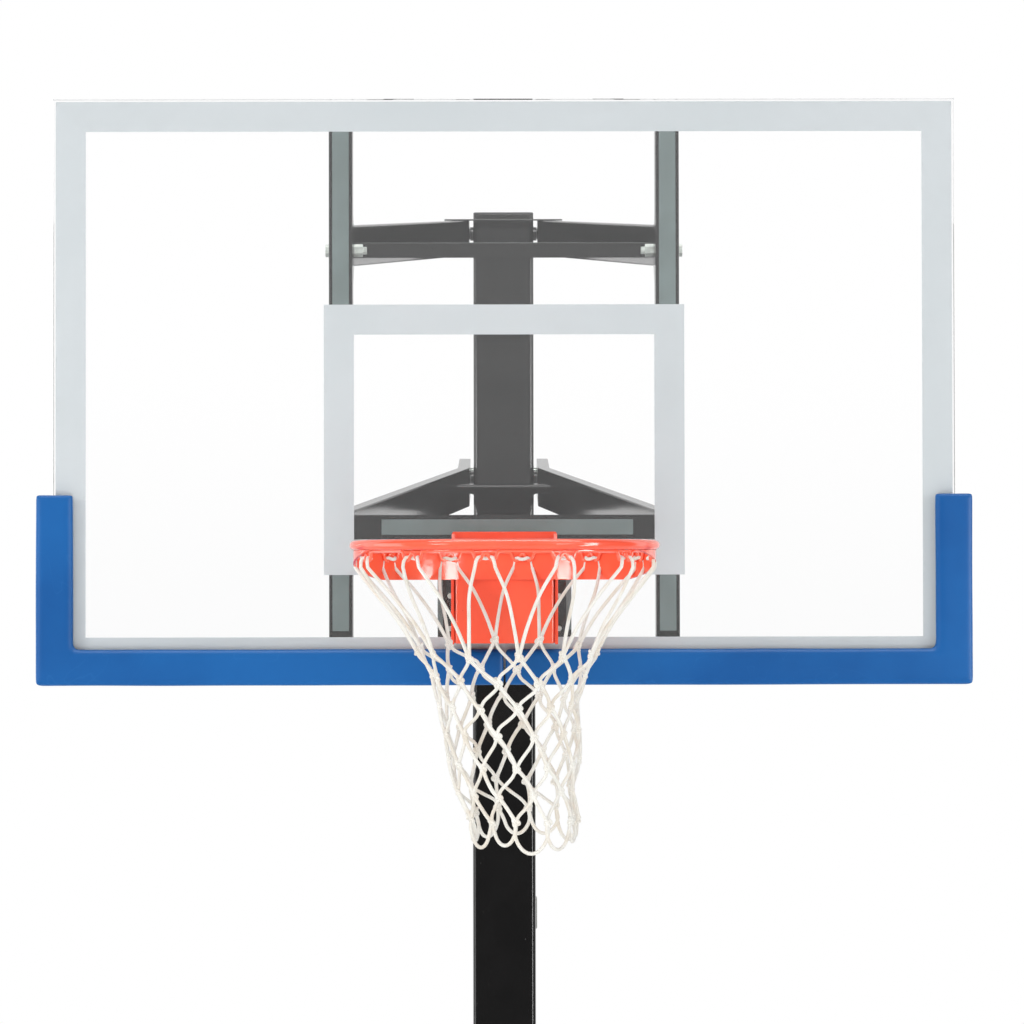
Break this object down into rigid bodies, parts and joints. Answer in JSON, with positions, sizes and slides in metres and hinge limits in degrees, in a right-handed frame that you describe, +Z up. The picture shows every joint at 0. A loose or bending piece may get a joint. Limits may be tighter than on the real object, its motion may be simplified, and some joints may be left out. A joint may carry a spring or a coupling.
{
  "type": "portable basketball hoop",
  "caption": "Portable basketball hoop with glass backboard, breakaway rim and net, parallelogram lift with screw jack, and wheeled ballast base.",
  "frame": {"origin": "on the floor under the pole's axis", "axes": "+Z up, -Y towards the court"},
  "size_m": [1.58, 2.9086, 3.284],
  "materials": {
    "glass": "clear tempered glass",
    "print": "white ceramic print",
    "black_paint": "black powder coat",
    "orange_paint": "orange-red powder coat",
    "zinc": "zinc plated",
    "tape": "grey-green foam tape",
    "pad": "blue moulded foam, satin skin",
    "cord": "off-white braided cord",
    "spring_steel": "spring steel",
    "tank": "blow-moulded polyethylene",
    "plastic": "black plastic",
    "clip": "light grey plastic",
    "nylon": "black nylon"
  },
  "bodies": {
    "stand": {"base_tank": "tank", "fill_cap": "plastic", "foot_bracket": "black_paint", "foot_bolts": "zinc", "wheel_axle": "zinc", "pole_lower": "black_paint", "pole_middle": "black_paint", "pole_upper": "black_paint", "pole_splice": "black_paint", "pole_cap": "plastic", "pole_joint_bolts": "zinc", "strut_left": "black_paint", "strut_right": "black_paint", "strut_feet": "black_paint", "strut_bolts": "zinc", "jack_bracket": "black_paint", "gear_housing": "black_paint", "jack_housing": "black_paint", "handle_clip": "clip", "upper_pole_bolt": "zinc", "lower_pole_bolt": "zinc", "pole_spacers": "nylon"},
    "left_wheel": {"wheel_left": "plastic"},
    "right_wheel": {"wheel_right": "plastic"},
    "lower_arms": {"lower_arm_left": "black_paint", "lower_arm_right": "black_paint", "lower_cross_plate": "black_paint", "lower_arm_bushes": "black_paint"},
    "upper_arms": {"upper_arm_left": "black_paint", "upper_arm_right": "black_paint", "upper_tie_bar": "black_paint", "upper_tie_plate": "black_paint", "upper_arm_bushes": "black_paint"},
    "board": {"glass_panel": "glass", "glass_print": "print", "channel_left": "black_paint", "channel_right": "black_paint", "cross_channel": "black_paint", "mounting_tapes": "tape", "rim_backing_bracket": "black_paint", "backing_rivets": "zinc", "board_pivot_bolts": "zinc", "pad_left": "pad", "pad_right": "pad", "rim_mount_plate": "orange_paint", "rim_mount_bolts": "zinc", "rim_hinge_pin": "zinc", "rim_spring_bolts": "zinc", "rim_springs": "spring_steel"},
    "rim": {"ring": "orange_paint", "net_wire": "orange_paint", "wrap_brace": "orange_paint", "rim_front_panel": "orange_paint", "rim_top_plate": "orange_paint", "net": "cord"},
    "ram": {"jack_ram": "zinc", "jack_pin": "zinc"},
    "screw": {"jack_screw": "zinc"},
    "crank": {"crank_handle": "zinc"},
    "grip": {"crank_grip": "plastic"}
  },
  "joints": [
    {"name": "left_wheel_spin", "type": "hinge", "parent": "stand", "child": "left_wheel", "pos_m": [-0.38, -0.15, 0.086], "axis": [1, 0, 0], "continuous": true},
    {"name": "right_wheel_spin", "type": "hinge", "parent": "stand", "child": "right_wheel", "pos_m": [0.38, -0.15, 0.086], "axis": [1, 0, 0], "continuous": true},
    {"name": "lower_arm_lift", "type": "hinge", "parent": "stand", "child": "lower_arms", "pos_m": [0, 0, 2.674], "axis": [-1, 0, 0], "range_deg": [-12.29, 26.35]},
    {"name": "upper_arm_lift", "type": "hinge", "parent": "stand", "child": "upper_arms", "pos_m": [0, 0, 3.174], "axis": [-1, 0, 0], "range_deg": [-12.29, 26.35]},
    {"name": "board_pivot", "type": "hinge", "parent": "lower_arms", "child": "board", "pos_m": [0, -1.143, 2.533], "axis": [-1, 0, 0], "range_deg": [-26.35, 12.29]},
    {"name": "rim_breakaway", "type": "hinge", "parent": "board", "child": "rim", "pos_m": [0, -1.229, 2.526], "axis": [1, 0, 0], "range_deg": [0, 20], "stiffness_Nm_per_rad": 400, "springref_deg": -14.32, "deforming": ["rim_springs"]},
    {"name": "jack_ram_slide", "type": "slide", "parent": "stand", "child": "ram", "axis": [0, 0, -1], "range_m": [-0.0325, 0.0695]},
    {"name": "jack_screw_turn", "type": "hinge", "parent": "stand", "child": "screw", "pos_m": [0, 0.146, 2], "axis": [0, 0, 1], "range_deg": [-1000, 2120]},
    {"name": "crank_turn", "type": "hinge", "parent": "stand", "child": "crank", "pos_m": [0, 0.2, 1.768], "axis": [0, 1, 0], "range_deg": [-1000, 2120]},
    {"name": "grip_spin", "type": "hinge", "parent": "crank", "child": "grip", "pos_m": [0, 0.22, 1.628], "axis": [0, 1, 0], "continuous": true}
  ],
  "couplings": [
    {"joint": "upper_arm_lift", "follows": "lower_arm_lift", "ratio": 1},
    {"joint": "board_pivot", "follows": "lower_arm_lift", "ratio": -1},
    {"joint": "jack_ram_slide", "follows": "lower_arm_lift", "m_per_rad": 0.15},
    {"joint": "jack_screw_turn", "follows": "lower_arm_lift", "ratio": 78.54},
    {"joint": "crank_turn", "follows": "lower_arm_lift", "ratio": 78.54}
  ]
}
